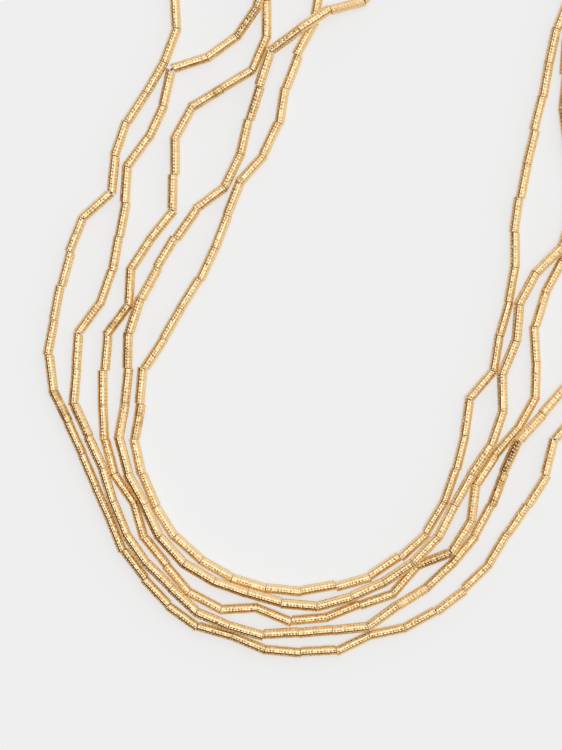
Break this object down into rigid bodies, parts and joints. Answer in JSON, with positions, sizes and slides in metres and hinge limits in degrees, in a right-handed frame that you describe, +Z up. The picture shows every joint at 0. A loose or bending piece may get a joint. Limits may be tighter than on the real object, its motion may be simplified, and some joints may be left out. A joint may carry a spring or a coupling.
{
  "type": "collar necklace",
  "caption": "Multi-strand collar necklace of slim ridged gold tube beads, strung as nested loops that meet at a plain bar clasp, lying flat.",
  "frame": {"origin": "middle of the neck opening, on the surface that the necklace lies on", "axes": "+Y from the front of the collar to the clasp, +Z up from the surface, +X to the wearer's left seen from above"},
  "size_m": [0.1246, 0.1984, 0.0051],
  "materials": {
    "gold_beads": "ridged, polished gold plate",
    "thread": "matt twisted thread",
    "gold_clasp": "polished gold plate"
  },
  "bodies": {
    "root": {"strand_1": "gold_beads", "strand_2_beads": "gold_beads", "strand_2_thread": "thread", "strand_3_beads": "gold_beads", "strand_3_thread": "thread", "strand_4_beads": "gold_beads", "strand_4_thread": "thread", "strand_5_beads": "gold_beads", "strand_5_thread": "thread", "clasp": "gold_clasp"}
  },
  "joints": []
}
